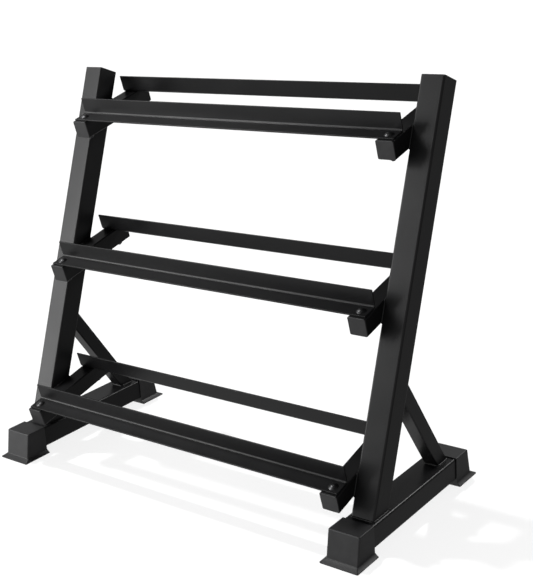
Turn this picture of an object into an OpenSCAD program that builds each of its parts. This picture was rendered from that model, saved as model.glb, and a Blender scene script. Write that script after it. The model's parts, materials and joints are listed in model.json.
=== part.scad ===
// Three-tier dumbbell rack.
// Two welded side frames lean back on their base tubes, and six folded angle rails
// are bolted across them in three pairs. Each pair cradles a row of dumbbells.
// X runs along the rails, Y runs from the front of the rack to its back, Z is up.
// The origin lies on the floor, under the middle of the rack's overall width and depth.

/* [Overall] */
// Distance between the centrelines of the two side frames
frame_spacing = 875; // [500:5:1400]
// Length of each upright along its axis, from the base tube to its top
upright_length = 814; // [600:2:1100]
// Length of each base tube
base_length = 404; // [370:2:560]

/* [Base tubes] */
// Width of the base tube
base_w = 64; // [52:1:90]
// Height of the base tube
base_h = 46; // [30:1:70]
// Corner radius of the base tube
base_r = 4; // [2:0.5:7]

/* [Uprights] */
// Width of the upright, along X
upright_w = 50; // [38:1:60]
// Depth of the upright, front to back
upright_d = 50; // [38:1:60]
// Corner radius of the upright
upright_r = 4; // [2:0.5:7]
// Backward lean of the upright from vertical, in degrees
upright_lean = 21; // [12:0.5:26]
// From the front end of the base tube to the axis of the upright, at the base tube
upright_setback = 85; // [80:1:120]

/* [Struts] */
// Side of the square strut tube
strut_w = 32; // [20:1:38]
// Corner radius of the strut
strut_r = 3; // [2:0.5:5]
// Where the strut's axis meets the upright's back, measured along the upright
strut_attach = 237; // [190:1:300]
// Gap between the strut and the rear foot cap, on top of the base tube
strut_to_cap = 6; // [2:0.5:20]

/* [Arms] */
// Side of the square arm tube
arm_w = 38; // [28:1:50]
// Corner radius of the arm tube
arm_r = 3; // [2:0.5:5]
// Forward and downward tilt of the arms, in degrees
arm_tilt = 14; // [0:0.5:20]
// Reach of the arm tube in front of the upright's axis
arm_front = 103; // [85:1:130]
// From the base tube to the top of the lowest arm, along the upright
first_shelf = 89; // [80:1:120]
// From the top of the uppermost arm to the top of the upright, along the upright
top_margin = 77; // [40:1:140]
// Wall thickness of every steel tube
tube_wall = 2; // [1.5:0.1:3]

/* [Rails] */
// Width of the rail's flat flange, which lies on the arms
rail_flat = 38; // [30:1:50]
// Height of the rail's standing flange, which carries the weights
rail_stand = 38; // [25:1:60]
// Thickness of the rail's sheet
rail_t = 3; // [2:0.5:5]
// Inside radius of the rail's fold
rail_bend = 4; // [1:0.5:5]
// Gap between the standing flanges of a pair of rails
cradle_gap = 129; // [100:1:170]
// Gap between each end of a rail and the upright's inner face
rail_end_gap = 2; // [0.5:0.5:6]
// From the end of the arm tube to the free edge of the flat flange
rail_inset = 4; // [2:0.5:15]

/* [Fasteners] */
// Thread diameter of the bolts
bolt_d = 8; // [6:1:10]
// Extra width of the holes that the bolts pass through
hole_clearance = 0.8; // [0.2:0.1:2]
// Diameter of the domed bolt head
head_d = 20; // [12:0.5:22]
// Height of the domed bolt head
head_h = 4.5; // [2:0.5:6]
// Width of the nut across its flats
nut_flats = 13; // [10:0.5:17]
// Height of the nut
nut_h = 6.5; // [4:0.5:9]
// Diameter of the washer
washer_d = 17; // [14:0.5:24]
// Thickness of the washer
washer_t = 1.6; // [1:0.1:2.5]
// Length of bolt that shows below the nut
bolt_tail = 3; // [1:0.5:8]

/* [Plastic caps] */
// Wall thickness of the foot cap around the base tube
cap_wall = 2; // [1.5:0.1:4]
// Length of base tube inside each foot cap
cap_sleeve = 45; // [30:1:70]
// Thickness of the foot cap's sole under the base tube
sole_h = 14; // [8:0.5:20]
// Height of the sole's upright rim
rim_h = 2.5; // [1:0.5:5]
// Height at which the cap's walls start to flare out into the sole
flare_h = 8; // [6:0.5:12]
// Reach of the sole beyond the cap's side walls
sole_side = 7.5; // [3:0.5:15]
// Reach of the sole beyond the cap's end wall
sole_end = 12.5; // [4:0.5:20]
// Slope of the cap's end wall, in degrees from vertical
end_slope = 11; // [0:1:15]
// Thickness of the cap's end wall at its top
end_wall = 3; // [2:0.5:6]
// Gap between the foot cap and the base tube
cap_clearance = 0.25; // [0.1:0.05:0.6]
// Thickness of the cover plate of an arm's end cap
plate_t = 2; // [1:0.5:4]
// Depth of the plug inside the top of each upright
top_plug_depth = 20; // [8:1:30]
// Gap between the plug inside an arm and the arm's nearest bolt
plug_to_bolt = 4; // [1:0.5:8]
// Gap between a plug and the inside of its tube
plug_clearance = 0.2; // [0.1:0.05:0.5]
// Wall thickness of a plug
plug_wall = 2; // [1.5:0.1:3]

/* [Hidden] */
$fn = 48;

SIDES = ["left", "right"];
SHELVES = ["bottom", "middle", "top"];
ENDS = ["front", "rear"];

steel_black = [0.16, 0.16, 0.17];
plastic_black = [0.24, 0.24, 0.25];
bolt_black = [0.30, 0.30, 0.31];

// A margin that lets a cutting shape pass through the surface that it cuts
pass = 1;
// Size of the blocks that trim the ends of the tubes
big = 400;

// Heights and widths of the base
base_top = sole_h + base_h;
cap_w = base_w + 2 * (cap_wall + cap_clearance);
cap_top = base_top + cap_clearance + cap_wall;
cap_foot = end_wall + (cap_top - flare_h) * tan(end_slope);
sole_reach = cap_foot + sole_end;

// The upright's inner face, where the arms are welded
inner_x = frame_spacing / 2 - upright_w / 2;
arm_x = inner_x - arm_w / 2;
rail_length = 2 * (inner_x - rail_end_gap);

// Places along the arms, measured from the upright's axis
front_rail_stand = -arm_front + rail_inset + rail_flat;
rear_rail_stand = front_rail_stand + cradle_gap;
arm_rear = rear_rail_stand + rail_flat + rail_inset;
bolt_inset = (rail_flat - rail_t - rail_bend) / 2;
bolt_places = [front_rail_stand - rail_flat + bolt_inset, rear_rail_stand + rail_flat - bolt_inset];
shelf_pitch = (upright_length - top_margin - first_shelf) / 2;
bolt_length = rail_t + arm_w + washer_t + nut_h + bolt_tail;
arm_plug_depth = rail_inset + bolt_inset - bolt_d / 2 - plug_to_bolt;

// The rack reaches from the front soles to the rear end of the top arms or of the rear soles,
// and the base is placed so that the origin is midway between these two ends
top_reach = upright_setback + (upright_length - top_margin) * sin(upright_lean)
    + (arm_rear + plate_t) * cos(arm_tilt) + arm_w * sin(arm_tilt);
overall_rear = max(base_length + sole_reach, top_reach);
base_front = (sole_reach - overall_rear) / 2;
base_rear = base_front + base_length;
upright_y = base_front + upright_setback;

// The strut runs from the back of the upright to the top of the base tube
strut_top_y = upright_y + strut_attach * sin(upright_lean) + upright_d / 2 * cos(upright_lean);
strut_top_z = base_top + strut_attach * cos(upright_lean) - upright_d / 2 * sin(upright_lean);
strut_foot_y = strut_foot(5);
strut_angle = atan2(strut_foot_y - strut_top_y, strut_top_z - base_top);
strut_span = norm([strut_foot_y - strut_top_y, strut_top_z - base_top]);

// Middle of the strut's footprint on the base tube. The footprint's length depends on the
// strut's angle and the angle on the footprint, so each step starts from the last result.
function strut_foot(steps) =
    base_rear - cap_sleeve - strut_to_cap - strut_w / 2
        / (steps == 0 ? 1 : cos(atan2(strut_foot(steps - 1) - strut_top_y, strut_top_z - base_top)));

function side_sign(s) = s == "left" ? -1 : 1;
function shelf_height(k) = first_shelf + shelf_pitch * (k == "bottom" ? 0 : k == "middle" ? 1 : 2);

// The inside corner radius of a tube whose outside corner radius is r
function inner_radius(r) = max(r - tube_wall, 0.5);

// ---- Profiles ----

module rounded_rect(w, d, r) {
    square([w - 2 * r, d], center = true);
    square([w, d - 2 * r], center = true);
    for (x = [-1, 1], y = [-1, 1])
        translate([x * (w / 2 - r), y * (d / 2 - r)]) circle(r);
}

// A folded angle: the flat flange runs along +X and the standing flange along +Y
module angle_profile() {
    fold = rail_t + rail_bend;
    translate([fold, 0]) square([rail_flat - fold, rail_t]);
    translate([0, fold]) square([rail_t, rail_stand - fold]);
    translate([fold, fold]) difference() {
        circle(fold);
        circle(rail_bend);
        translate([0, -fold - pass]) square(2 * fold + 2 * pass);
        translate([-fold - pass, 0]) square(2 * fold + 2 * pass);
    }
}

// ---- Shared shapes ----

// A rectangular tube along +Z
module tube(w, d, r, length) {
    difference() {
        linear_extrude(length) rounded_rect(w, d, r);
        translate([0, 0, -pass]) linear_extrude(length + 2 * pass)
            rounded_rect(w - 2 * tube_wall, d - 2 * tube_wall, inner_radius(r));
    }
}

// The hollow plug of an end cap: its closed face is at the origin and it reaches into -Z
module plug(w, d, r, depth) {
    plug_w = w - 2 * (tube_wall + plug_clearance);
    plug_d = d - 2 * (tube_wall + plug_clearance);
    translate([0, 0, -depth]) difference() {
        linear_extrude(depth) rounded_rect(plug_w, plug_d, inner_radius(r));
        translate([0, 0, -pass]) linear_extrude(depth - plug_wall + pass)
            rounded_rect(plug_w - 2 * plug_wall, plug_d - 2 * plug_wall, inner_radius(r));
    }
}

// Puts children, made along the upright's axis, at the upright of one side
module at_upright(s) {
    translate([side_sign(s) * frame_spacing / 2, upright_y, base_top])
        rotate([-upright_lean, 0, 0]) children();
}

// Puts children in a shelf's own frame: the origin is where the arm tops cross the
// uprights' axes, +Y runs back along the arms and +Z is square to the shelf
module at_shelf(k) {
    translate([0, upright_y, base_top])
        translate(shelf_height(k) * [0, sin(upright_lean), cos(upright_lean)])
            rotate([arm_tilt, 0, 0]) children();
}

// Puts a copy of children at each of a shelf's four bolts, on top of the arms
module at_bolts(k) {
    at_shelf(k)
        for (x = [-arm_x, arm_x], y = bolt_places) translate([x, y, 0]) children();
}

// Everything below the top of the base tubes
module below_base() {
    translate([-big, -big * 2, base_top - big]) cube([big * 2, big * 4, big]);
}

// ---- Side frames ----

module base_tube(s) {
    color(steel_black)
        translate([side_sign(s) * frame_spacing / 2, base_front, sole_h + base_h / 2])
            rotate([-90, 0, 0]) tube(base_w, base_h, base_r, base_length);
}

module upright(s) {
    color(steel_black) difference() {
        at_upright(s) translate([0, 0, -upright_d])
            tube(upright_w, upright_d, upright_r, upright_length + upright_d);
        translate([side_sign(s) * frame_spacing / 2, 0, 0]) below_base();
    }
}

module upright_plug(s) {
    color(plastic_black) at_upright(s) translate([0, 0, upright_length])
        plug(upright_w, upright_d, upright_r, top_plug_depth);
}

module strut(s) {
    color(steel_black) difference() {
        translate([side_sign(s) * frame_spacing / 2, strut_foot_y, base_top])
            rotate([strut_angle, 0, 0]) translate([0, 0, -2 * strut_w])
                tube(strut_w, strut_w, strut_r, strut_span + 4 * strut_w);
        translate([side_sign(s) * frame_spacing / 2, 0, 0]) below_base();
        at_upright(s) translate([-big, upright_d / 2 - big, -big])
            cube([2 * big, big, upright_length + 2 * big]);
    }
}

// ---- Foot caps ----

// The cap's side view, with the end of the base tube at the origin and +X outward
module foot_side_view() {
    polygon([
        [-cap_sleeve, 0],
        [sole_reach, 0],
        [sole_reach, rim_h],
        [cap_foot, flare_h],
        [end_wall, cap_top],
        [-cap_sleeve, cap_top]
    ]);
}

// The cap's view from the front
module foot_front_view() {
    side_x = cap_w / 2;
    sole_x = side_x + sole_side;
    polygon([
        [-sole_x, 0], [sole_x, 0], [sole_x, rim_h], [side_x, flare_h], [side_x, cap_top],
        [-side_x, cap_top], [-side_x, flare_h], [-sole_x, rim_h]
    ]);
}

module foot(e, s) {
    outward = e == "front" ? -1 : 1;
    tube_end = e == "front" ? base_front : base_rear;
    color(plastic_black)
        translate([side_sign(s) * frame_spacing / 2, tube_end, 0]) face_end(outward) difference() {
            intersection() {
                translate([-cap_w, 0, 0]) rotate([90, 0, 90]) linear_extrude(2 * cap_w) foot_side_view();
                translate([0, big, 0]) rotate([90, 0, 0]) linear_extrude(2 * big) foot_front_view();
            }
            translate([0, -cap_sleeve - pass, sole_h + base_h / 2]) rotate([-90, 0, 0])
                linear_extrude(cap_sleeve + pass) foot_socket();
        }
}

// The tube's outline with clearance beside and above it; the tube rests on the sole
module foot_socket() {
    translate([0, -cap_clearance / 2])
        rounded_rect(base_w + 2 * cap_clearance, base_h + cap_clearance, base_r);
}

// Turns a shape made for the rear end round to face the front
module face_end(outward) {
    if (outward > 0) children();
    else mirror([0, 1, 0]) children();
}

// ---- Arms ----

module arm(k, s) {
    color(steel_black) difference() {
        at_shelf(k) translate([side_sign(s) * arm_x, -arm_front, -arm_w / 2])
            rotate([-90, 0, 0]) tube(arm_w, arm_w, arm_r, arm_front + arm_rear);
        at_bolts(k) translate([0, 0, -arm_w - pass])
            cylinder(d = bolt_d + hole_clearance, h = arm_w + 2 * pass);
    }
}

module arm_cap(k, e, s) {
    outward = e == "front" ? -1 : 1;
    tube_end = e == "front" ? -arm_front : arm_rear;
    color(plastic_black)
        at_shelf(k) translate([side_sign(s) * arm_x, tube_end, -arm_w / 2]) face_end(outward)
            rotate([-90, 0, 0]) {
                linear_extrude(plate_t) rounded_rect(arm_w, arm_w, arm_r);
                plug(arm_w, arm_w, arm_r, arm_plug_depth);
            }
}

// ---- Rails ----

module rail(k, e) {
    stand = e == "front" ? front_rail_stand : rear_rail_stand;
    outward = e == "front" ? -1 : 1;
    color(steel_black) difference() {
        at_shelf(k) translate([-rail_length / 2, stand, 0]) face_end(outward)
            rotate([90, 0, 90]) linear_extrude(rail_length) angle_profile();
        at_bolts(k) bolt_neck(bolt_d + hole_clearance, pass);
    }
}

// ---- Fasteners ----

// The square neck under a bolt's head keeps it from turning in the rail
module bolt_neck(side, over) {
    translate([0, 0, rail_t / 2]) cube([side, side, rail_t + 2 * over], center = true);
}

module bolts(k) {
    dome_r = (pow(head_d / 2, 2) + pow(head_h, 2)) / (2 * head_h);
    color(bolt_black) at_bolts(k) {
        translate([0, 0, rail_t]) intersection() {
            cylinder(d = head_d, h = head_h);
            translate([0, 0, head_h - dome_r]) sphere(dome_r);
        }
        bolt_neck(bolt_d, 0);
        translate([0, 0, rail_t - bolt_length]) cylinder(d = bolt_d, h = bolt_length);
    }
}

module washers(k) {
    color(bolt_black) at_bolts(k) translate([0, 0, -arm_w - washer_t]) difference() {
        cylinder(d = washer_d, h = washer_t);
        translate([0, 0, -pass]) cylinder(d = bolt_d + hole_clearance, h = washer_t + 2 * pass);
    }
}

module nuts(k) {
    color(bolt_black) at_bolts(k) translate([0, 0, -arm_w - washer_t - nut_h]) difference() {
        cylinder(d = nut_flats / cos(30), h = nut_h, $fn = 6);
        translate([0, 0, -pass]) cylinder(d = bolt_d, h = nut_h + 2 * pass);
    }
}

// ---- Assembly ----

for (s = SIDES) {
    base_tube(s);
    upright(s);
    upright_plug(s);
    strut(s);
    for (e = ENDS)
        foot(e, s);
    for (k = SHELVES) {
        arm(k, s);
        for (e = ENDS)
            arm_cap(k, e, s);
    }
}
for (k = SHELVES) {
    for (e = ENDS)
        rail(k, e);
    bolts(k);
    washers(k);
    nuts(k);
}
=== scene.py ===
# %% [markdown]
# # A three-tier dumbbell rack
#
# The rack is two welded side frames of steel tube, six folded steel rails bolted between them,
# and moulded plastic at every open end. This lesson loads the exact CAD model as a frame,
# measures each part there, and builds a finer visible piece in the same place.
# Everything is in metres: X runs along the rails, Y runs to the back, Z is up.

# %% Load the frame
import json
import math

import bmesh
import bpy
from mathutils import Matrix, Vector


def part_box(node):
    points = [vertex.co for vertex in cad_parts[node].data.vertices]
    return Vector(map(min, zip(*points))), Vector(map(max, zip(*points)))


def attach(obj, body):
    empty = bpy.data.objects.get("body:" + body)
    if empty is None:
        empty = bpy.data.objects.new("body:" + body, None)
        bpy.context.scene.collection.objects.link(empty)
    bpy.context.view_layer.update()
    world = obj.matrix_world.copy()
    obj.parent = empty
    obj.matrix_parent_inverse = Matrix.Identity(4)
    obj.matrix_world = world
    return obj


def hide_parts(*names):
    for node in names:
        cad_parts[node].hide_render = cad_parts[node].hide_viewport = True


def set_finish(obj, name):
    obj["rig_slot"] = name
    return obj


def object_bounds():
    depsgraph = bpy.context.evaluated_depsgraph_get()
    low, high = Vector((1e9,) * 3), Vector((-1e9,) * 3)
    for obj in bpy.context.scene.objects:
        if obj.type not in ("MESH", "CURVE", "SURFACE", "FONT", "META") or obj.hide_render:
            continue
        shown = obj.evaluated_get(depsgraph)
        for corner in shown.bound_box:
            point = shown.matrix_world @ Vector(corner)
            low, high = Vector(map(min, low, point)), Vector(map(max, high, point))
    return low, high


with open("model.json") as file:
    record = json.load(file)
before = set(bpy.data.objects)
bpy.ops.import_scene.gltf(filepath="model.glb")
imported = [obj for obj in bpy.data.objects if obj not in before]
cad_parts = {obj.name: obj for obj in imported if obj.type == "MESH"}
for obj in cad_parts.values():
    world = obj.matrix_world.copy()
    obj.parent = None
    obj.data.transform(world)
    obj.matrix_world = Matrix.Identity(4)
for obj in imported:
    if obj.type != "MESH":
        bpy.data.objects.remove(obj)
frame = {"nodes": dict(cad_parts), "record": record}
cad_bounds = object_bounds()
nodes = frame["nodes"]
MM = 0.001
X, Z = Vector((1, 0, 0)), Vector((0, 0, 1))
SIDES = {"left": -1, "right": 1}
ENDS = {"front": -1, "rear": 1}
SHELVES = ("bottom", "middle", "top")
overall = [[round(v, 3) for v in corner] for corner in cad_bounds]
print(f"{len(nodes)} CAD parts, overall box {overall}")

# %% [markdown]
# ## Measuring a tube
#
# Most parts are straight lengths that lean at some angle, so a plain X, Y, Z box says little
# about them. Nearly all the edge length in a tube's mesh runs along the tube, so the direction
# with the most of it gives the tube's own axes: `side` is always X, `along` follows the tube,
# and `deep` is square to both. In those axes its box is its true width, depth and length.


# %% The tube's own axes
class Beam:
    """A straight part's own axes, and its lowest and highest corner in them."""

    def __init__(self, node):
        mesh = nodes[node].data
        runs = {}
        for edge in mesh.edges:
            run = mesh.vertices[edge.vertices[1]].co - mesh.vertices[edge.vertices[0]].co
            if run.y + run.z < 0:
                run.negate()
            direction = tuple(round(c, 3) for c in run.normalized())
            runs[direction] = runs.get(direction, Vector()) + run
        self.along = max(runs.values(), key=lambda total: total.length).normalized()
        self.side = X
        self.deep = self.along.cross(X).normalized()
        local = [self.to_local(v.co) for v in mesh.vertices]
        self.low = Vector([min(v[i] for v in local) for i in range(3)])
        self.high = Vector([max(v[i] for v in local) for i in range(3)])
        self.middle = (self.low + self.high) / 2
        self.width, self.depth, self.length = self.high - self.low

    def to_local(self, point):
        return Vector((point.dot(self.side), point.dot(self.deep), point.dot(self.along)))

    def to_world(self, side, deep, along):
        return self.side * side + self.deep * deep + self.along * along


upright_beam = Beam("upright_left")
lean = math.degrees(math.acos(upright_beam.along.z))
section = f"{upright_beam.width / MM:.0f} x {upright_beam.depth / MM:.0f} mm"
print(f"upright {section}, leaning {lean:.1f} degrees")

# %% [markdown]
# ## Skinning rings
#
# Tubes, folded sheet, caps, nuts and washers can all be drawn as a row of rings with the same
# number of points, joined by strips of four-sided faces. If the last ring joins the first, the
# skin is a closed hollow wall, as on a tube. If not, a flat face closes each end. One function
# for all of them keeps every mesh watertight.
#
# The faces are shaded smooth, and a Weighted Normal modifier lets the big flat faces keep their
# flat look, so only the rounded corners and the broken edges catch the light.


# %% From rings to a mesh
def add_rings(bm, rings, hollow):
    """Joins rings with faces. A hollow skin closes on itself, a solid one has end faces."""
    made = [[bm.verts.new(point) for point in ring] for ring in rings]
    count = len(made[0])
    for a, b in zip(made, made[1:] + made[:1] if hollow else made[1:]):
        for i in range(count):
            j = (i + 1) % count
            bm.faces.new((a[i], a[j], b[j], b[i]))
    if not hollow:
        bm.faces.new(reversed(made[0]))
        bm.faces.new(made[-1])


pieces = {}


def make_piece(name, bm, slot, replaced=()):
    """Turns a bmesh into a finished object that rides on the rack."""
    bmesh.ops.recalc_face_normals(bm, faces=bm.faces)
    mesh = bpy.data.meshes.new(name)
    bm.to_mesh(mesh)
    bm.free()
    mesh.shade_smooth()
    piece = bpy.data.objects.new(name, mesh)
    bpy.context.scene.collection.objects.link(piece)
    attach(piece, "root")
    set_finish(piece, slot)
    if replaced:
        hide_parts(*replaced)
    pieces[name] = piece
    return piece


def soften(piece):
    """Keeps flat faces flat, and blends only across the narrow faces at corners and edges."""
    weighted = piece.modifiers.new("flat_faces_stay_flat", "WEIGHTED_NORMAL")
    weighted.mode = "FACE_AREA"
    weighted.weight = 100


# %% [markdown]
# ## Outlines
#
# A section is a list of points around a closed outline. Box-section tube has its corners bent
# to a radius of about twice the wall, and `arc` gives those. `shrink` moves an outline inwards
# by a fixed distance, which makes the inside wall of a tube and the small bevel on a cut edge.


# %% Rounded outlines
CORNER_STEPS = 6


def arc(centre, radius, start, end, steps=CORNER_STEPS):
    """Points on an arc in the plane, with its angles in degrees."""
    turns = [math.radians(start + (end - start) * i / steps) for i in range(steps + 1)]
    return [(centre[0] + radius * math.cos(t), centre[1] + radius * math.sin(t)) for t in turns]


def rounded_box(width, depth, radius):
    """A rectangle about the origin with round corners, drawn anticlockwise."""
    x, y = width / 2 - radius, depth / 2 - radius
    return (arc((x, y), radius, 0, 90) + arc((-x, y), radius, 90, 180)
            + arc((-x, -y), radius, 180, 270) + arc((x, -y), radius, 270, 360))


def circle(radius, steps):
    return arc((0, 0), radius, 0, 360 * (steps - 1) / steps, steps - 1)


def shrink(outline, gap):
    """Moves an anticlockwise outline inwards by gap, or outwards where gap is negative."""
    moved = []
    for i, here in enumerate(outline):
        before, after = outline[i - 1], outline[(i + 1) % len(outline)]
        a = Vector((before[1] - here[1], here[0] - before[0])).normalized()
        b = Vector((here[1] - after[1], after[0] - here[0])).normalized()
        shift = (a + b) * gap / (1 + a.dot(b))
        moved.append((here[0] + shift.x, here[1] + shift.y))
    return moved


# %% [markdown]
# ## Steel tube
#
# Each tube is cut from box section with a saw, square or at an angle, and the burr is filed
# off. So a cut end is a plane, and every line along the tube runs until it meets that plane.
# `cut_ring` does that for one outline. The filed edge is 0.4 mm.

# %% Cutting a tube with planes
FILED_EDGE = 0.4 * MM
TUBE_WALL = 2 * MM


def cut_ring(beam, outline, plane, back=0.0):
    """The outline carried along the beam to a plane (point, normal), and then moved by back."""
    point, normal = plane
    ring = []
    for side, deep in outline:
        line = beam.to_world(beam.middle.x + side, beam.middle.y + deep, 0)
        reach = (point - line).dot(normal) / beam.along.dot(normal)
        ring.append(line + beam.along * (reach + back))
    return ring


def end_planes(beam):
    """The square cuts at both ends of a beam."""
    return ((beam.along * beam.low.z, beam.along), (beam.along * beam.high.z, beam.along))


def cut_rings(beam, outline, start, end, edge):
    """One wall of a cut length: its filed edge, its two long lines and the other filed edge."""
    inside = shrink(outline, edge)
    edge = abs(edge)
    return [cut_ring(beam, inside, start), cut_ring(beam, outline, start, edge),
            cut_ring(beam, outline, end, -edge), cut_ring(beam, inside, end)]


def tube(node, radius, start=None, end=None):
    """A hollow tube in place of a CAD tube. A cut that isn't square is given as a plane."""
    beam = Beam(node)
    square_start, square_end = end_planes(beam)
    start, end = start or square_start, end or square_end
    outer = rounded_box(beam.width, beam.depth, radius)
    inner = rounded_box(beam.width - 2 * TUBE_WALL, beam.depth - 2 * TUBE_WALL, radius - TUBE_WALL)
    bm = bmesh.new()
    walls = cut_rings(beam, outer, start, end, FILED_EDGE)
    walls += reversed(cut_rings(beam, inner, start, end, -FILED_EDGE))
    add_rings(bm, walls, hollow=True)
    piece = make_piece(node + "_steel", bm, "powder_coat", [node])
    return piece, beam


# %% The side frames' tubes
FRAME_CORNER = 4 * MM
STRUT_CORNER = 3 * MM
ARM_CORNER = 3 * MM
base_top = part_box("base_tube_left")[1].z
floor_of_frame = (Z * base_top, Z)
beams = {}
rear_faces = {}
for side in SIDES:
    beams["base", side] = tube(f"base_tube_{side}", FRAME_CORNER)[1]
    upright = tube(f"upright_{side}", FRAME_CORNER, start=floor_of_frame)[1]
    rearmost = max(upright.low.y, upright.high.y, key=lambda d: (upright.deep * d).y)
    rear_faces[side] = (upright.to_world(0, rearmost, 0), upright.deep)
    beams["upright", side] = upright
    beams["strut", side] = tube(f"strut_{side}", STRUT_CORNER, floor_of_frame, rear_faces[side])[1]
    for shelf in SHELVES:
        beams[shelf, side] = tube(f"{shelf}_arm_{side}", ARM_CORNER)[1]
arm_tilt = math.degrees(math.asin(beams["top", "left"].along.z))
print(f"{len(beams)} tubes, and the arms tilt {arm_tilt:.1f} degrees")

# %% [markdown]
# ## Folded rails
#
# A rail is 3 mm sheet, sheared to a strip and folded once in a press brake. The fold leaves a
# radius inside and a bigger one outside, and the sheared edges are slightly round under their
# coat. The outline is drawn once for a rear rail, whose flat flange points back, and mirrored
# for a front rail.

# %% The rail's section
SHEET = 3 * MM
FOLD_INSIDE = 4 * MM
SHEARED_EDGE = 0.7 * MM


def angle_outline(flat, stand):
    """An angle with its outer corner at the origin, one flange along +u and the other along +v."""
    fold = SHEET + FOLD_INSIDE
    edge = SHEARED_EDGE
    return (arc((flat - edge, edge), edge, -90, 0, 3)
            + arc((flat - edge, SHEET - edge), edge, 0, 90, 3)
            + arc((fold, fold), FOLD_INSIDE, 270, 180)
            + arc((SHEET - edge, stand - edge), edge, 0, 90, 3)
            + arc((edge, stand - edge), edge, 90, 180, 3)
            + arc((fold, fold), fold, 180, 270))


def rail(shelf, end):
    """A folded rail, measured in the axes of the arms that it lies on."""
    node = f"{shelf}_rail_{end}"
    arm = beams[shelf, "left"]
    up = X.cross(arm.along)
    corners = [v.co for v in nodes[node].data.vertices]
    back = [c.dot(arm.along) for c in corners]
    height = [c.dot(up) for c in corners]
    half = max(c.x for c in corners)
    heel = min(back) if end == "rear" else max(back)
    outline = angle_outline(max(back) - min(back), max(height) - min(height))
    bm = bmesh.new()
    rings = []
    full = half - FILED_EDGE
    for x, edge in ((-half, FILED_EDGE), (-full, 0), (full, 0), (half, FILED_EDGE)):
        ring = shrink(outline, edge) if edge else outline
        rings.append([X * x + arm.along * (heel + ENDS[end] * u) + up * (min(height) + v)
                      for u, v in ring])
    add_rings(bm, rings, hollow=False)
    return make_piece(node + "_folded", bm, "powder_coat", [node])


for shelf in SHELVES:
    for end in ENDS:
        rail(shelf, end)
print("6 folded rails")

# %% [markdown]
# ## Bolts, washers and nuts
#
# Each rail is held down by a dome-head bolt with a square neck, through a washer and a nut
# below the arm. The dome is a slice of a sphere with a small flat rim. The thread is a true
# helix: each ring's radius depends on how far round and how far along the point is.

# %% Where the bolts stand
BOLT_STEPS = 32
SHANK = 4 * MM
HEAD_HIGH = 4.5 * MM
HEAD_RADIUS = 10 * MM
THREAD_PITCH = 1.25 * MM
THREAD_DEPTH = 0.6 * MM
THREADED = 16 * MM
THREAD_LEAD = 0.3 * MM
RINGS_PER_PITCH = 6
NECK_HALF = 0.97 * SHANK
NECK_LEAD = 0.05 * MM
DOME_RINGS = 9
HEAD_RIM = 0.3 * MM
HEAD_UNDERCUT = 0.2 * MM


def clusters(node, axis):
    """A point on each separate solid's centre line, with its lowest and highest place on axis."""
    deep = axis.cross(X)
    bm = bmesh.new()
    bm.from_mesh(nodes[node].data)
    bmesh.ops.remove_doubles(bm, verts=bm.verts, dist=0.01 * MM)
    left = set(bm.verts)
    found = []
    while left:
        todo = [left.pop()]
        group = list(todo)
        while todo:
            for edge in todo.pop().link_edges:
                for other in edge.verts:
                    if other in left:
                        left.remove(other)
                        todo.append(other)
                        group.append(other)
        spans = [[v.co.dot(d) for v in group] for d in (X, deep, axis)]
        across, back = [(min(span) + max(span)) / 2 for span in spans[:2]]
        found.append((X * across + deep * back, min(spans[2]), max(spans[2])))
    bm.free()
    # A set gives its vertices in no fixed order, so sorting keeps each run the same.
    return sorted(found, key=lambda solid: tuple(solid[0]))


def on_axis(centre, axis, height, outline):
    """A flat outline laid square to axis, at a height along it and centred on the bolt."""
    deep = axis.cross(X)
    base = centre - axis * centre.dot(axis)
    return [base + axis * height + X * u + deep * v for u, v in outline]


# %% [markdown]
# A bolt's rings change from round to square for the neck and back to round under the head. A nut
# has six sides, so its outline swings in and out, and its two faces are turned to a chamfer
# that cuts the corners off.


# %% Bolts
def bolt_rings(centre, low, high, axis):
    """Rings from the end of the thread, up the shank and the square neck, and over the dome."""
    sphere = (HEAD_RADIUS ** 2 + HEAD_HIGH ** 2) / (2 * HEAD_HIGH)
    under_head = high - HEAD_HIGH
    rings = []
    turns = [360 * i / BOLT_STEPS for i in range(BOLT_STEPS)]
    steps = int(THREADED / THREAD_PITCH * RINGS_PER_PITCH)
    rings.append(on_axis(centre, axis, low, circle(SHANK - 2 * THREAD_DEPTH, BOLT_STEPS)))
    for i in range(steps + 1):
        z = THREAD_LEAD + THREADED * i / steps
        outline = []
        for turn in turns:
            ridge = abs(((z / THREAD_PITCH - turn / 360) % 1) * 2 - 1)
            radius = min(SHANK - THREAD_DEPTH * ridge, SHANK - THREAD_DEPTH + z * 0.8)
            t = math.radians(turn)
            outline.append((radius * math.cos(t), radius * math.sin(t)))
        rings.append(on_axis(centre, axis, low + z, outline))
    rings.append(on_axis(centre, axis, under_head - SHEET, circle(SHANK, BOLT_STEPS)))
    for height in (under_head - SHEET + NECK_LEAD, under_head):
        rings.append(on_axis(centre, axis, height, square_neck()))
    rings.append(on_axis(centre, axis, under_head, circle(HEAD_RADIUS - HEAD_UNDERCUT, BOLT_STEPS)))
    rim = math.degrees(math.asin(HEAD_RADIUS / sphere))
    for i in range(DOME_RINGS):
        t = math.radians(rim * (1 - i / DOME_RINGS))
        height = max(high - sphere + sphere * math.cos(t), under_head + HEAD_RIM)
        rings.append(on_axis(centre, axis, height, circle(sphere * math.sin(t), BOLT_STEPS)))
    return rings


def square_neck():
    """A square about as wide as the shank, with as many points as the rings that it joins."""
    outline = []
    for i in range(BOLT_STEPS):
        t = 2 * math.pi * i / BOLT_STEPS
        reach = NECK_HALF / max(abs(math.cos(t)), abs(math.sin(t)))
        outline.append((reach * math.cos(t), reach * math.sin(t)))
    return outline


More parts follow.
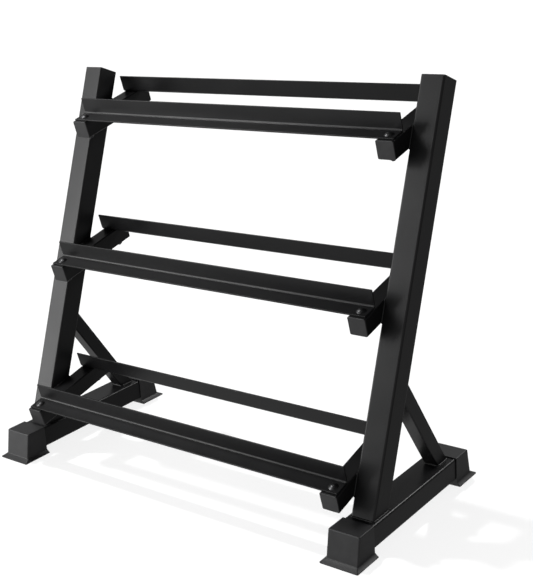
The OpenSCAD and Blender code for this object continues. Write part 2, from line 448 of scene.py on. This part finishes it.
# %% Washers and nuts
WASHER_RADIUS = 8.5 * MM
WASHER_HOLE = 4.4 * MM
STAMPED_EDGE = 0.3 * MM
NUT_HALF_FLATS = 6.5 * MM
NUT_STEPS = 72
NUT_CHAMFER = 30
NUT_LEAD = 0.5 * MM


def washer_rings(centre, low, high, axis):
    """A stamped ring with softly rounded edges."""
    outer, inner, edge = WASHER_RADIUS, WASHER_HOLE, STAMPED_EDGE
    places = ((inner, low + edge), (inner + edge, low), (outer - edge, low), (outer, low + edge),
              (outer, high - edge), (outer - edge, high), (inner + edge, high),
              (inner, high - edge))
    return [on_axis(centre, axis, height, circle(radius, BOLT_STEPS)) for radius, height in places]


def nut_rings(centre, low, high, axis):
    """A hexagon nut, chamfered where a cone has been turned off its corners."""
    steps = NUT_STEPS
    face_radius = NUT_HALF_FLATS * 0.97
    slope = math.tan(math.radians(NUT_CHAMFER))
    outer, lower, upper = [], [], []
    for i in range(steps):
        t = 360 * i / steps
        reach = NUT_HALF_FLATS / math.cos(math.radians(t % 60 - 30))
        outer.append((reach * math.cos(math.radians(t)), reach * math.sin(math.radians(t))))
        drop = (reach - face_radius) * slope
        lower.append(drop)
        upper.append(-drop)

    def tilted(height, drops):
        ring = on_axis(centre, axis, height, outer)
        return [point + axis * drop for point, drop in zip(ring, drops)]

    bore, mouth, face = [circle(r, steps) for r in (SHANK, SHANK + NUT_LEAD, face_radius)]
    return [on_axis(centre, axis, low + NUT_LEAD, bore), on_axis(centre, axis, low, mouth),
            on_axis(centre, axis, low, face), tilted(low, lower), tilted(high, upper),
            on_axis(centre, axis, high, face), on_axis(centre, axis, high, mouth),
            on_axis(centre, axis, high - NUT_LEAD, bore)]


def fasteners(node, build, hollow, suffix):
    """All four fasteners of one kind on a shelf, as one piece."""
    axis = X.cross(beams[node.split("_")[0], "left"].along)
    bm = bmesh.new()
    found = clusters(node, axis)
    for centre, low, high in found:
        add_rings(bm, build(centre, low, high, axis), hollow)
    make_piece(node + suffix, bm, "black_fasteners", [node])
    return len(found)


made = 0
for shelf in SHELVES:
    made += fasteners(f"{shelf}_bolts", bolt_rings, False, "_domed")
    made += fasteners(f"{shelf}_washers", washer_rings, True, "_stamped")
    made += fasteners(f"{shelf}_nuts", nut_rings, True, "_chamfered")
print(f"{made} fasteners")

# %% [markdown]
# ## Bolt holes
#
# Each rail has a square hole that holds the bolt's neck, so that the bolt can't turn, and the
# arm has a round one through both of its walls. Heads and washers hide them, but without them
# the bolts and the steel would fill the same space. A Boolean cuts them with a plain bar
# through each bolt, slightly wider than the bolt.

# %% Cutting one shape from another
def subtract(piece, bm):
    """Cuts a closed shape from a piece for good."""
    bmesh.ops.recalc_face_normals(bm, faces=bm.faces)
    mesh = bpy.data.meshes.new("cutter")
    bm.to_mesh(mesh)
    bm.free()
    cutter = bpy.data.objects.new("cutter", mesh)
    bpy.context.scene.collection.objects.link(cutter)
    cut = piece.modifiers.new("cut", "BOOLEAN")
    cut.operation = "DIFFERENCE"
    cut.solver = "EXACT"
    cut.object = cutter
    bpy.context.view_layer.update()
    evaluated = piece.evaluated_get(bpy.context.evaluated_depsgraph_get())
    result = bpy.data.meshes.new_from_object(evaluated)
    piece.modifiers.remove(cut)
    piece.data = result
    piece.data.shade_smooth()
    bpy.data.objects.remove(cutter)


# %% Holes in the rails and arms
HOLE_PLAY = 0.4 * MM
BEYOND = 1 * MM


def drill(piece, shelf, outline):
    """Cuts a bar of this outline out of a piece at each of its shelf's bolts."""
    axis = X.cross(beams[shelf, "left"].along)
    bm = bmesh.new()
    for centre, low, high in clusters(f"{shelf}_bolts", axis):
        ends = (low - BEYOND, high + BEYOND)
        add_rings(bm, [on_axis(centre, axis, height, outline) for height in ends], hollow=False)
    subtract(piece, bm)


half_hole = SHANK + HOLE_PLAY
square_hole = [(half_hole * u, half_hole * v) for u, v in ((1, -1), (1, 1), (-1, 1), (-1, -1))]
for shelf in SHELVES:
    for end in ENDS:
        drill(pieces[f"{shelf}_rail_{end}_folded"], shelf, square_hole)
    for side in SIDES:
        drill(pieces[f"{shelf}_arm_{side}_steel"], shelf, circle(half_hole, BOLT_STEPS))
print("a square hole in the rail and a round one in the arm at each bolt")

# %% [markdown]
# ## Foot caps
#
# Each end of a base tube is pushed into a moulded plastic cap that stands on the floor with a
# flared sole. A mould needs draft and soft edges, so the end wall slopes, the sole runs out in
# a thin flare with a hollow curve, and the upper edges are rounded. Stacked outlines, one for
# each height, give that shape. The socket for the tube is cut from it with a Boolean.

# %% The cap's outline at each height
CAP_CORNER = 3 * MM
MOUTH_CORNER = 0.6 * MM
SOLE_EDGE = 0.8 * MM
SOLE_RIM = 2.5 * MM
FLARE_TOP = 8 * MM
FLARE_BLEND = 0.6 * MM
FLARE_RINGS = 6
FLARE_HOLLOW = 1.25
WALL_TOP = 3 * MM
DRAFT = math.tan(math.radians(11))
TOP_ROUND = 2 * MM
TOP_RINGS = 4


def cap_outline(half_width, mouth, end, corner):
    """A plan view: a narrow radius at the mouth's corners and a wider one at the closed end."""
    x, m = half_width, MOUTH_CORNER
    return (arc((x - m, mouth + m), m, -90, 0, 2)
            + arc((x - corner, end - corner), corner, 0, 90, 5)
            + arc((corner - x, end - corner), corner, 90, 180, 5)
            + arc((m - x, mouth + m), m, 180, 270, 2))


def foot_cap(end, side):
    """One foot cap, stacked from the floor up in the tube's own direction."""
    node = f"foot_{end}_{side}"
    low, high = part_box(node)
    base_low, base_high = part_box(f"base_tube_{side}")
    outward = ENDS[end]
    middle = (low.x + high.x) / 2
    tube_end = base_high.y if outward > 0 else base_low.y
    mouth = (low.y if outward > 0 else high.y) - tube_end
    mouth, sole_end = -abs(mouth), abs((high.y if outward > 0 else low.y) - tube_end)
    sole_half = (high.x - low.x) / 2
    top = high.z
    wall_half = (base_high.x - base_low.x) / 2 + (top - base_high.z)
    wall_foot = WALL_TOP + (top - FLARE_TOP) * DRAFT
    stack = [(0.0, sole_half - SOLE_EDGE, sole_end - SOLE_EDGE), (SOLE_EDGE, sole_half, sole_end)]
    for i in range(FLARE_RINGS + 1):
        t = i / FLARE_RINGS
        fade = (1 - t) ** FLARE_HOLLOW
        z = SOLE_RIM + (FLARE_TOP + FLARE_BLEND - SOLE_RIM) * t
        stack.append((z, wall_half + (sole_half - wall_half) * fade,
                      wall_foot + (sole_end - wall_foot) * fade))
    shoulder = top - TOP_ROUND
    stack.append((shoulder, wall_half, WALL_TOP + TOP_ROUND * DRAFT))
    for i in range(1, TOP_RINGS + 1):
        t = math.radians(90 * i / TOP_RINGS)
        inset = TOP_ROUND * (1 - math.cos(t))
        stack.append((shoulder + TOP_ROUND * math.sin(t), wall_half - inset,
                      WALL_TOP + (1 - i / TOP_RINGS) * TOP_ROUND * DRAFT - inset))
    rings = []
    for z, half, reach in stack:
        outline = cap_outline(half, mouth, reach, CAP_CORNER)
        rings.append([Vector((middle + u, tube_end + outward * v, z)) for u, v in outline])
    bm = bmesh.new()
    add_rings(bm, rings, hollow=False)
    cap = make_piece(node + "_moulded", bm, "foot_plastic", [node])
    cut_socket(cap, middle, tube_end, outward, mouth, base_low, base_high)
    bevel = cap.modifiers.new("soft_edges", "BEVEL")
    bevel.width = 0.35 * MM
    bevel.segments = 2
    bevel.limit_method = "ANGLE"
    bevel.angle_limit = math.radians(50)
    return cap


# %% The socket
SOCKET_PLAY = 0.25 * MM
SOCKET_LEAD = 0.7 * MM
PAST_MOUTH = 1 * MM


def cut_socket(cap, middle, tube_end, outward, mouth, base_low, base_high):
    """Cuts the space for the base tube, with a small lead-in round its mouth."""
    width = base_high.x - base_low.x + 2 * SOCKET_PLAY
    height = base_high.z - base_low.z + SOCKET_PLAY
    centre_z = base_low.z + height / 2
    section = rounded_box(width, height, FRAME_CORNER)
    rings = []
    places = ((mouth - PAST_MOUTH, SOCKET_LEAD + PAST_MOUTH), (mouth + SOCKET_LEAD, 0), (0, 0))
    for y, grow in places:
        ring = shrink(section, -grow) if grow else section
        rings.append([Vector((middle + u, tube_end + outward * y, centre_z + v))
                      for u, v in ring])
    bm = bmesh.new()
    add_rings(bm, rings, hollow=False)
    subtract(cap, bm)


for end in ENDS:
    for side in SIDES:
        foot_cap(end, side)
print("4 foot caps")

# %% [markdown]
# ## End caps in the tubes
#
# An arm's end is closed by a push-in cap: a plate as big as the tube, with a hollow plug behind
# it whose thin fins reach towards the wall. The tops of the uprights have the same plug without the
# plate, pushed in flush. The plate's face is rounded over 1 mm.

# %% Push-in caps
PLATE = 2 * MM
FACE_ROUND = 1 * MM
BROKEN_EDGE = 0.15 * MM
PLUG_FIT = 0.2 * MM
PLUG_WALL = 2 * MM
PLUG_LEAD = 0.4 * MM
FIN = 0.5 * MM
FINS = 3
FIRST_FIN = 3 * MM
LAST_FIN = 1 * MM


def push_in_cap(node, tube_beam, radius, plate):
    """A cap at the end of a tube where its CAD part lies. plate is its cover's thickness, or 0."""
    places = [v.co.dot(tube_beam.along) for v in nodes[node].data.vertices]
    outward = 1 if sum(places) / len(places) > tube_beam.middle.z else -1
    tube_end = tube_beam.high.z if outward > 0 else tube_beam.low.z
    depth = (max(places) - min(places)) - plate
    gap = 2 * (TUBE_WALL + PLUG_FIT)
    wide = rounded_box(tube_beam.width, tube_beam.depth, radius)
    bore = rounded_box(tube_beam.width - gap, tube_beam.depth - gap, radius - TUBE_WALL)
    core = shrink(bore, FIN)
    hollow = shrink(bore, PLUG_WALL)
    stack = []
    if plate:
        for i in range(4):
            t = math.radians(90 * i / 3)
            stack.append((plate - FACE_ROUND * (1 - math.sin(t)) if i else plate - FACE_ROUND,
                          shrink(wide, FACE_ROUND * (1 - math.cos(t))) if i else wide))
        stack = [(0.0, core), (0.0, shrink(wide, BROKEN_EDGE)), (BROKEN_EDGE, wide), *stack]
        stack.reverse()
    else:
        stack += [(0.0, shrink(bore, PLUG_LEAD)), (-PLUG_LEAD, bore), (-FIRST_FIN, bore)]
    room = depth - (FIRST_FIN + LAST_FIN)
    for i in range(FINS):
        y = -FIRST_FIN - room * i / FINS
        stack += [(y, core), (y - room / FINS * 0.45, core),
                  (y - room / FINS * 0.55, bore), (y - room / FINS * 0.75, bore)]
    stack += [(-depth, core), (-depth, hollow), (-PLUG_WALL, hollow)]
    centre = tube_beam.middle
    rings = [[tube_beam.to_world(centre.x + u, centre.y + v, tube_end + outward * y)
              for u, v in outline] for y, outline in stack]
    bm = bmesh.new()
    add_rings(bm, rings, hollow=False)
    return make_piece(node + "_moulded", bm, "cap_plastic", [node])


for side in SIDES:
    push_in_cap(f"upright_plug_{side}", beams["upright", side], FRAME_CORNER, 0)
    for shelf in SHELVES:
        for end in ENDS:
            push_in_cap(f"{shelf}_arm_cap_{end}_{side}", beams[shelf, side], ARM_CORNER, PLATE)
print("14 push-in caps")

# %% [markdown]
# ## Weld seams
#
# Wherever two tubes meet, a bead of weld fills the corner between them under the powder coat.
# A bead is a thin round rod that follows the joint, half sunk in both tubes, whose radius
# swells and shrinks a little at each drop of metal. The joint's route is the outline of one
# tube carried to the face of the other, which `cut_ring` already gives.

# %% Beads
BEAD = 2 * MM
DROP_LENGTH = 2.8 * MM
RIPPLE = 0.07
ARM_SEAM_SINK = 0.6 * MM


def resample(path, closed, step):
    """Points at equal steps along a path."""
    route = path + path[:1] if closed else path
    lengths = [0.0]
    for a, b in zip(route, route[1:]):
        lengths.append(lengths[-1] + (b - a).length)
    count = max(4, round(lengths[-1] / step))
    points = []
    i = 0
    for k in range(count if closed else count + 1):
        want = lengths[-1] * k / count
        while lengths[i + 1] < want and i < len(lengths) - 2:
            i += 1
        span = lengths[i + 1] - lengths[i]
        points.append(route[i].lerp(route[i + 1], (want - lengths[i]) / span if span else 0))
    return points


def bead(bm, path, normal, closed):
    """Adds a rippled rod along a path that lies in the plane with this normal."""
    points = resample(path, closed, DROP_LENGTH / 3)
    rings = []
    for i, here in enumerate(points):
        before = points[i - 1] if closed or i else here
        after = points[(i + 1) % len(points)] if closed or i < len(points) - 1 else here
        ahead = (after - before).normalized()
        across = ahead.cross(normal).normalized()
        swell = 1 + RIPPLE * math.sin(2 * math.pi * i / 3)
        if not closed:
            swell *= min(1, 0.35 + 0.3 * min(i, len(points) - 1 - i))
        rings.append([here + (across * u + normal * v) * swell for u, v in circle(BEAD, 10)])
    add_rings(bm, rings, hollow=closed)


def seams(side):
    """Every seam of one side frame, in one piece."""
    bm = bmesh.new()
    upright, strut = beams["upright", side], beams["strut", side]
    joints = [(upright, floor_of_frame, FRAME_CORNER), (strut, floor_of_frame, STRUT_CORNER),
              (strut, rear_faces[side], STRUT_CORNER)]
    for beam, plane, radius in joints:
        outline = rounded_box(beam.width, beam.depth, radius)
        bead(bm, cut_ring(beam, outline, plane), plane[1], closed=True)
    inner = upright.to_world(upright.middle.x - SIDES[side] * upright.width / 2, 0, 0).x
    for shelf in SHELVES:
        arm = beams[shelf, side]
        for ends in arm_seams(upright, arm):
            bead(bm, [Vector((inner, y, z)) for y, z in ends], X, closed=False)
    return make_piece(f"weld_seams_{side}", bm, "powder_coat")


def arm_seams(upright, arm):
    """The four short seams where an arm lies against an upright, as pairs of (y, z) ends."""
    edges = []
    for a in (arm.low.y, arm.high.y):
        for d in (upright.low.y, upright.high.y):
            arm_line = a + math.copysign(ARM_SEAM_SINK, arm.middle.y - a)
            upright_line = d + math.copysign(ARM_SEAM_SINK, upright.middle.y - d)
            edges.append(meet(arm.deep, arm_line, upright.deep, upright_line))
    low_front, low_rear, high_front, high_rear = edges
    return [(low_front, low_rear), (high_front, high_rear),
            (low_front, high_front), (low_rear, high_rear)]


def meet(normal_a, reach_a, normal_b, reach_b):
    """Where two lines cross in the Y, Z plane, each given by a normal and its distance."""
    area = normal_a.y * normal_b.z - normal_a.z * normal_b.y
    return ((reach_a * normal_b.z - reach_b * normal_a.z) / area,
            (normal_a.y * reach_b - normal_b.y * reach_a) / area)


for side in SIDES:
    seams(side)
print(f"weld seams on both side frames, {len(pieces)} pieces in all")

# %% [markdown]
# ## Colour
#
# Colours are picked as sRGB hex values, the way a paint chart gives them, and shaders work in
# linear light, so one function converts them. A second one adds any shader node, sets it and
# links it, so that a material reads from top to bottom.


# %% Colour and node helpers
def linear(hex_colour):
    """An sRGB hex colour as linear red, green, blue and alpha."""
    parts = [int(hex_colour[i:i + 2], 16) / 255 for i in (1, 3, 5)]
    return [c / 12.92 if c <= 0.04045 else ((c + 0.055) / 1.055) ** 2.4 for c in parts] + [1.0]


def add(tree, kind, settings=None, links=None):
    """Adds one node. Settings are properties or input values, links are outputs for inputs."""
    node = tree.nodes.new(kind)
    for name, value in (settings or {}).items():
        if isinstance(name, str) and hasattr(node, name):
            setattr(node, name, value)
        else:
            node.inputs[name].default_value = value
    for name, output in (links or {}).items():
        tree.links.new(output, node.inputs[name])
    return node


def new_material(name, shader_settings):
    """An empty material with its main shader and output, and coordinates in metres."""
    material = bpy.data.materials.new(name)
    material.use_nodes = True
    tree = material.node_tree
    tree.nodes.clear()
    shader = add(tree, "ShaderNodeBsdfPrincipled", shader_settings)
    add(tree, "ShaderNodeOutputMaterial", links={"Surface": shader.outputs["BSDF"]})
    place = add(tree, "ShaderNodeTexCoord").outputs["Object"]
    return material, tree, shader, place


def per_metre(feature):
    """The noise scale that gives features of this size in metres."""
    return 1 / feature


# %% [markdown]
# ## Powder-coated steel
#
# The frame is dry polyester powder, baked to a satin black skin about 80 micrometres thick. It
# flows out with a faint orange peel, 2 mm across, that breaks up reflections, and under that it
# has a fine sandy tooth. It is a plastic skin, so it isn't metallic and its index is about 1.5.
# Handling leaves it a little smoother in patches the size of a hand.


# %% Powder coat
def powder_coat():
    material, tree, shader, place = new_material("powder_coated_steel", {
        "Metallic": 0.0, "IOR": 1.5, "Specular IOR Level": 0.32})
    patches = add(tree, "ShaderNodeTexNoise", {"Scale": per_metre(90 * MM), "Detail": 3.0},
                  {"Vector": place})
    tooth = add(tree, "ShaderNodeTexNoise", {"Scale": per_metre(1.1 * MM), "Detail": 2.0},
                {"Vector": place})
    peel = add(tree, "ShaderNodeTexNoise", {"Scale": per_metre(2.4 * MM), "Detail": 1.0},
               {"Vector": place})
    black = add(tree, "ShaderNodeValToRGB", links={"Fac": patches.outputs["Fac"]})
    black.color_ramp.elements[0].position = 0.3
    black.color_ramp.elements[0].color = linear("#141415")
    black.color_ramp.elements[1].position = 0.7
    black.color_ramp.elements[1].color = linear("#19191a")
    speckle = add(tree, "ShaderNodeMapRange",
                  {"From Min": 0.35, "From Max": 0.65, "To Min": 0.82, "To Max": 1.18},
                  {"Value": tooth.outputs["Fac"]})
    colour = add(tree, "ShaderNodeMix",
                 {"data_type": "RGBA", "blend_type": "MULTIPLY", "Factor": 1.0},
                 {6: black.outputs["Color"], 7: speckle.outputs["Result"]})
    gloss = add(tree, "ShaderNodeMapRange",
                {"From Min": 0.3, "From Max": 0.7, "To Min": 0.30, "To Max": 0.37},
                {"Value": patches.outputs["Fac"]})
    sandy = add(tree, "ShaderNodeBump", {"Strength": 0.35, "Distance": 0.05 * MM},
                {"Height": tooth.outputs["Fac"]})
    skin = add(tree, "ShaderNodeBump", {"Strength": 0.5, "Distance": 0.12 * MM},
               {"Height": peel.outputs["Fac"], "Normal": sandy.outputs["Normal"]})
    tree.links.new(colour.outputs[2], shader.inputs["Base Color"])
    tree.links.new(gloss.outputs["Result"], shader.inputs["Roughness"])
    tree.links.new(skin.outputs["Normal"], shader.inputs["Normal"])
    return material


# %% [markdown]
# ## Moulded plastic
#
# The foot caps are moulded in a tough black polypropylene and the push-in caps in a softer
# polyethylene. Both take the spark-eroded grain of their mould, a field of tiny round pits
# 0.8 mm across here, and both are a shade greyer and duller than the paint.


# %% Moulded plastic finishes
def moulded_plastic(name, dark, light, grain, roughness):
    material, tree, shader, place = new_material(name, {"Metallic": 0.0, "IOR": 1.49})
    flow = add(tree, "ShaderNodeTexNoise",
               {"Scale": per_metre(25 * MM), "Detail": 2.0, "Distortion": 0.6},
               {"Vector": place})
    pits = add(tree, "ShaderNodeTexVoronoi", {"Scale": per_metre(grain), "feature": "SMOOTH_F1"},
               {"Vector": place})
    colour = add(tree, "ShaderNodeValToRGB", links={"Fac": flow.outputs["Fac"]})
    colour.color_ramp.elements[0].position = 0.35
    colour.color_ramp.elements[0].color = linear(dark)
    colour.color_ramp.elements[1].position = 0.65
    colour.color_ramp.elements[1].color = linear(light)
    dull = add(tree, "ShaderNodeMapRange",
               {"From Min": 0.0, "From Max": 0.8,
                "To Min": roughness - 0.05, "To Max": roughness + 0.06},
               {"Value": pits.outputs["Distance"]})
    bump = add(tree, "ShaderNodeBump", {"Strength": 0.4, "Distance": 0.06 * MM},
               {"Height": pits.outputs["Distance"]})
    tree.links.new(colour.outputs["Color"], shader.inputs["Base Color"])
    tree.links.new(dull.outputs["Result"], shader.inputs["Roughness"])
    tree.links.new(bump.outputs["Normal"], shader.inputs["Normal"])
    return material


# %% [markdown]
# ## Black zinc fasteners
#
# Bolts, washers and nuts are zinc plated and passivated black. The skin is so thin that the
# steel's forging and turning marks show through, so it is a dark metal with a soft, uneven gloss.


# %% Black zinc
def black_zinc():
    material, tree, shader, place = new_material("black_zinc_steel", {"Metallic": 1.0})
    cloud = add(tree, "ShaderNodeTexNoise", {"Scale": per_metre(3 * MM), "Detail": 4.0},
                {"Vector": place})
    colour = add(tree, "ShaderNodeValToRGB", links={"Fac": cloud.outputs["Fac"]})
    colour.color_ramp.elements[0].position = 0.3
    colour.color_ramp.elements[0].color = linear("#454546")
    colour.color_ramp.elements[1].position = 0.7
    colour.color_ramp.elements[1].color = linear("#5a5a5b")
    gloss = add(tree, "ShaderNodeMapRange", {"To Min": 0.30, "To Max": 0.45},
                {"Value": cloud.outputs["Fac"]})
    bump = add(tree, "ShaderNodeBump", {"Strength": 0.25, "Distance": 0.05 * MM},
               {"Height": cloud.outputs["Fac"]})
    tree.links.new(colour.outputs["Color"], shader.inputs["Base Color"])
    tree.links.new(gloss.outputs["Result"], shader.inputs["Roughness"])
    tree.links.new(bump.outputs["Normal"], shader.inputs["Normal"])
    return material


# %% Give every piece its finish
finishes = {
    "powder_coat": powder_coat(),
    "foot_plastic": moulded_plastic("moulded_polypropylene", "#272728", "#2d2d2e", 0.8 * MM, 0.45),
    "cap_plastic": moulded_plastic("moulded_polyethylene", "#262627", "#2d2d2e", 0.7 * MM, 0.42),
    "black_fasteners": black_zinc(),
}
slots = {entry["node"]: entry["material_slot"] for entry in frame["record"]["subparts"]}
for name, piece in pieces.items():
    piece.data.materials.clear()
    piece.data.materials.append(finishes[piece["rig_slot"]])
    soften(piece)
for name, node in nodes.items():
    node.data.materials.clear()
    node.data.materials.append(finishes[slots[name]])
print(f"{len(finishes)} finishes on {len(pieces)} pieces")

# %% [markdown]
# ## Camera
#
# The camera stands in front of the rack and to its right, a little above the top shelf, and is
# tipped slightly to one side. A lens of about 75 mm keeps the far side frame nearly as big as
# the near one.

# %% Camera
HEADING = 38.22
PITCH = 17.58
ROLL = -3.87
DISTANCE = 2.2
lowest, highest = [Vector(corner) for corner in cad_bounds]
aim = Vector((0.1525, -0.0393, 0.4214))
heading, pitch = math.radians(HEADING), math.radians(PITCH)
level = math.cos(pitch)
forward = Vector((-math.sin(heading) * level, math.cos(heading) * level, -math.sin(pitch)))
lens = bpy.data.cameras.new("camera")
lens.lens = 75.6
lens.sensor_width = 36.0
lens.sensor_fit = "HORIZONTAL"
lens.shift_x = 0.0014
lens.shift_y = 0.0081
camera = bpy.data.objects.new("camera", lens)
bpy.context.scene.collection.objects.link(camera)
turn = forward.to_track_quat("-Z", "Y").to_matrix().to_4x4()
roll = Matrix.Rotation(math.radians(ROLL), 4, "Z")
camera.matrix_world = Matrix.Translation(aim - forward * DISTANCE) @ (turn @ roll)
bpy.context.scene.camera = camera
print(f"camera {DISTANCE} m away, {PITCH} degrees above the rack")

# %% [markdown]
# ## Floor and light
#
# A black product on a white floor needs two sets of lamps. The floor has its own: an even wash
# that makes it white, and one high lamp, up and to the left, whose faint shadow falls to the
# right. The rack has a tall softbox in front and to the left, which its front faces mirror, and
# a strip behind and above, which draws a thin bright line along the rounded edges. A small
# softbox above lights the bolt heads and the flared soles. Light linking keeps each lamp to its
# own subject, which a real studio can only come near to with flags and grids.
#
# Everything else that the rack mirrors is the surround: pale below, where a floor would be, and
# dark above. It stands in for the floor, which is hidden from the rack's mirror and bounce rays,
# because at full white it would turn the black side faces grey.


# %% Floor
FLOOR_HALF = 60.0


def floor_finish():
    material, tree, shader, place = new_material("pale_sweep", {
        "Specular IOR Level": 0.2, "Roughness": 0.8})
    cloud = add(tree, "ShaderNodeTexNoise", {"Scale": 2.0, "Detail": 2.0}, {"Vector": place})
    colour = add(tree, "ShaderNodeValToRGB", links={"Fac": cloud.outputs["Fac"]})
    colour.color_ramp.elements[0].color = linear("#f3f3f3")
    colour.color_ramp.elements[1].color = linear("#f6f6f6")
    tree.links.new(colour.outputs["Color"], shader.inputs["Base Color"])
    return material


def floor_sweep():
    """A flat floor, much wider than the view."""
    bm = bmesh.new()
    corners = ((-1, -1), (1, -1), (1, 1), (-1, 1))
    bm.faces.new([bm.verts.new((x * FLOOR_HALF, y * FLOOR_HALF, 0)) for x, y in corners])
    mesh = bpy.data.meshes.new("floor")
    bm.to_mesh(mesh)
    bm.free()
    mesh.materials.append(floor_finish())
    sweep = bpy.data.objects.new("floor", mesh)
    sweep.visible_diffuse = False
    sweep.visible_glossy = False
    bpy.context.scene.collection.objects.link(sweep)
    return sweep


floor_only = bpy.data.collections.new("lit_by_floor_lamps")
rack_only = bpy.data.collections.new("lit_by_rack_lamps")
floor_only.objects.link(floor_sweep())
for piece in pieces.values():
    rack_only.objects.link(piece)
print("a pale floor")


# %% Lamps
SUN_DISTANCE = 4


def place_lamp(light, direction, distance, subject):
    """Puts a lamp at a distance from the rack's middle, turned to it and linked to its subject."""
    lamp = bpy.data.objects.new(light.name, light)
    towards = Vector(direction).normalized()
    lamp.location = middle + towards * distance
    lamp.rotation_euler = (-towards).to_track_quat("-Z", "Y").to_euler()
    lamp.light_linking.receiver_collection = subject
    bpy.context.scene.collection.objects.link(lamp)


def high_lamp(name, direction, strength, spread, shadow):
    light = bpy.data.lights.new(name, "SUN")
    light.energy = strength
    light.angle = math.radians(spread)
    light.use_shadow = shadow
    place_lamp(light, direction, SUN_DISTANCE, floor_only)


def softbox(name, direction, distance, width, height, power):
    light = bpy.data.lights.new(name, "AREA")
    light.shape = "RECTANGLE"
    light.size, light.size_y = width, height
    light.energy = power
    place_lamp(light, direction, distance, rack_only)


middle = (lowest + highest) / 2
high_lamp("floor_wash", (0, 0, 1), 2.9, 20, False)
high_lamp("shadow_lamp", (-0.388, 0.181, 1), 0.62, 2, True)
softbox("front_softbox", (-0.70, -0.72, 0.27), 2.6, 1.1, 2.1, 50)
softbox("rim_strip", (0.30, 0.75, 0.59), 2.4, 1.2, 0.4, 24)
softbox("top_softbox", (-0.55, -0.16, 0.82), 2.4, 0.7, 0.7, 22)


# %% Surround
def surround():
    """Pale below, dark above and dimmer at the back right. The camera sees it white."""
    world = bpy.data.worlds.new("surround")
    world.use_nodes = True
    tree = world.node_tree
    background = tree.nodes["Background"]
    direction = add(tree, "ShaderNodeTexCoord").outputs["Generated"]
    height = add(tree, "ShaderNodeSeparateXYZ", links={"Vector": direction}).outputs["Z"]
    rise = add(tree, "ShaderNodeMapRange", {"From Min": -1.0, "From Max": 1.0}, {"Value": height})
    ramp = add(tree, "ShaderNodeValToRGB", links={"Fac": rise.outputs["Result"]})
    ramp.color_ramp.elements[0].position = 0.20
    ramp.color_ramp.elements[0].color = linear("#c8c8c8")
    ramp.color_ramp.elements[1].position = 0.82
    ramp.color_ramp.elements[1].color = linear("#484848")
    horizon = ramp.color_ramp.elements.new(0.65)
    horizon.color = linear("#b4b4b4")
    across = add(tree, "ShaderNodeVectorMath", {"operation": "DOT_PRODUCT", 1: (-0.6, -0.6, 0.0)},
                 {0: direction})
    fade = add(tree, "ShaderNodeMapRange",
               {"From Min": -0.8, "From Max": 0.1, "To Min": 0.34, "To Max": 1.0},
               {"Value": across.outputs["Value"]})
    shaded = add(tree, "ShaderNodeMix",
                 {"data_type": "RGBA", "blend_type": "MULTIPLY", "Factor": 1.0},
                 {6: ramp.outputs["Color"], 7: fade.outputs["Result"]})
    seen = add(tree, "ShaderNodeLightPath").outputs["Is Camera Ray"]
    backdrop = add(tree, "ShaderNodeMix", {"data_type": "RGBA", 7: linear("#ffffff")},
                   {0: seen, 6: shaded.outputs[2]})
    tree.links.new(backdrop.outputs[2], background.inputs["Color"])
    return world


bpy.context.scene.world = surround()
bpy.context.scene.view_settings.view_transform = "Standard"
print("two floor lamps, three rack lamps and the surround")
